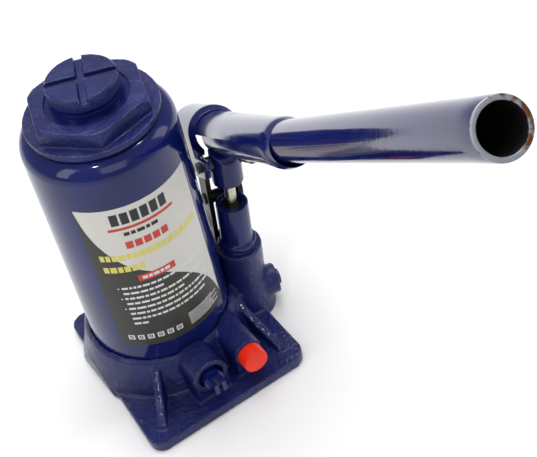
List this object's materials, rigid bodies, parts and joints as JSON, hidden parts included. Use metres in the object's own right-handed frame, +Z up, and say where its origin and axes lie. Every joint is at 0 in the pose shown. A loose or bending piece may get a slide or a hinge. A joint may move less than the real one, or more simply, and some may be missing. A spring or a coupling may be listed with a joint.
{
  "type": "hydraulic bottle jack",
  "caption": "Upright hydraulic bottle jack: cast base, round reservoir, ram with extension screw and round saddle, side pump with lever socket and tube handle.",
  "frame": {"origin": "on the ground under the ram axis", "axes": "+Z up along the ram, -Y towards the release valve at the front, +X towards the pump"},
  "size_m": [0.1426, 0.3809, 0.3814],
  "materials": {
    "blue_paint": "gloss enamel over steel",
    "cast_paint": "enamel over rough casting",
    "steel": "ground steel",
    "rod_steel": "oiled steel with painted head",
    "black_steel": "black oxide",
    "rubber": "nitrile rubber",
    "copper": "soft copper washer",
    "bronze": "bearing bronze",
    "cast_iron": "machined iron",
    "label_film": "printed film",
    "red_plastic": "soft moulded cap"
  },
  "bodies": {
    "base": {"base_casting": "cast_paint", "reservoir_tank": "blue_paint", "tank_gasket": "rubber", "inner_cylinder": "cast_iron", "cylinder_gasket": "copper", "top_nut": "cast_paint", "nut_seal_ring": "rubber", "guide_bush": "bronze", "ram_seal": "rubber", "ram_wiper": "rubber", "label": "label_film", "oil_filter": "bronze", "pump_cylinder": "blue_paint", "pump_washer": "copper", "pump_gland": "steel", "link_low_pin": "black_steel", "suction_stop": "steel", "suction_plug": "blue_paint", "delivery_stop": "steel", "safety_cap": "red_plastic", "safety_screw": "steel", "safety_spring": "steel", "safety_ball": "steel", "release_ball": "steel"},
    "filler": {"filler_plug": "rubber"},
    "suction_valve": {"suction_ball": "steel"},
    "delivery_valve": {"delivery_ball": "steel"},
    "ram": {"ram": "blue_paint", "ram_cup_seal": "rubber", "ram_retainer": "steel", "ram_retainer_screw": "steel"},
    "stop_ring": {"screw_stop_ring": "steel"},
    "screw": {"extension_screw": "blue_paint"},
    "release_seal": {"release_oring": "rubber"},
    "release": {"release_stem": "black_steel"},
    "plunger": {"pump_plunger": "rod_steel", "plunger_seal": "rubber"},
    "lever": {"socket_yoke": "blue_paint", "socket_tube": "blue_paint", "plunger_pin": "black_steel", "plunger_clip": "black_steel", "fulcrum_pin": "black_steel"},
    "link": {"link_plate_left": "black_steel", "link_plate_right": "black_steel", "link_spacer": "black_steel"},
    "handle": {"handle_tube": "blue_paint"}
  },
  "joints": [
    {"name": "ram_lift", "type": "slide", "parent": "base", "child": "ram", "axis": [0, 0, 1], "range_m": [0, 0.12]},
    {"name": "screw_lift", "type": "slide", "parent": "ram", "child": "stop_ring", "axis": [0, 0, 1], "range_m": [0, 0.0601]},
    {"name": "screw_turn", "type": "hinge", "parent": "stop_ring", "child": "screw", "pos_m": [0, 0, 0.2], "axis": [0, 0, 1], "range_deg": [0, 5400]},
    {"name": "release_travel", "type": "slide", "parent": "base", "child": "release_seal", "axis": [0, -1, 0], "range_m": [0, 0.0019]},
    {"name": "release_turn", "type": "hinge", "parent": "release_seal", "child": "release", "pos_m": [-0.003, -0.067, 0.024], "axis": [0, -1, 0], "range_deg": [0, 540]},
    {"name": "plunger_stroke", "type": "slide", "parent": "base", "child": "plunger", "axis": [0.0821, -0.016, 0.9965], "range_m": [-0.0146, 0.0022]},
    {"name": "lever_swing", "type": "hinge", "parent": "plunger", "child": "lever", "pos_m": [0.06378, -0.01298, 0.12356], "axis": [-0.9782, 0.1901, 0.0837], "range_deg": [-35, 5]},
    {"name": "link_swing", "type": "hinge", "parent": "base", "child": "link", "pos_m": [0.06035, 0.00399, 0.04484], "axis": [0.9782, -0.1901, -0.0837], "range_deg": [-5.3, 0.8]},
    {"name": "handle_pull", "type": "slide", "parent": "lever", "child": "handle", "axis": [-0.1014, -0.7885, 0.6066], "range_m": [0, 0.045]},
    {"name": "filler_pull", "type": "slide", "parent": "base", "child": "filler", "axis": [0, 1, 0], "range_m": [0, 0.012]},
    {"name": "suction_lift", "type": "slide", "parent": "base", "child": "suction_valve", "axis": [0.0821, -0.016, 0.9965], "range_m": [0, 0.001]},
    {"name": "delivery_lift", "type": "slide", "parent": "base", "child": "delivery_valve", "axis": [0, 0, 1], "range_m": [0, 0.001]}
  ],
  "couplings": [
    {"joint": "screw_lift", "follows": "screw_turn", "m_per_rad": 0.00063662},
    {"joint": "release_travel", "follows": "release_turn", "m_per_rad": 0.00019894},
    {"joint": "plunger_stroke", "follows": "lever_swing", "m_per_rad": 0.0237},
    {"joint": "link_swing", "follows": "lever_swing", "ratio": 0.1486}
  ]
}
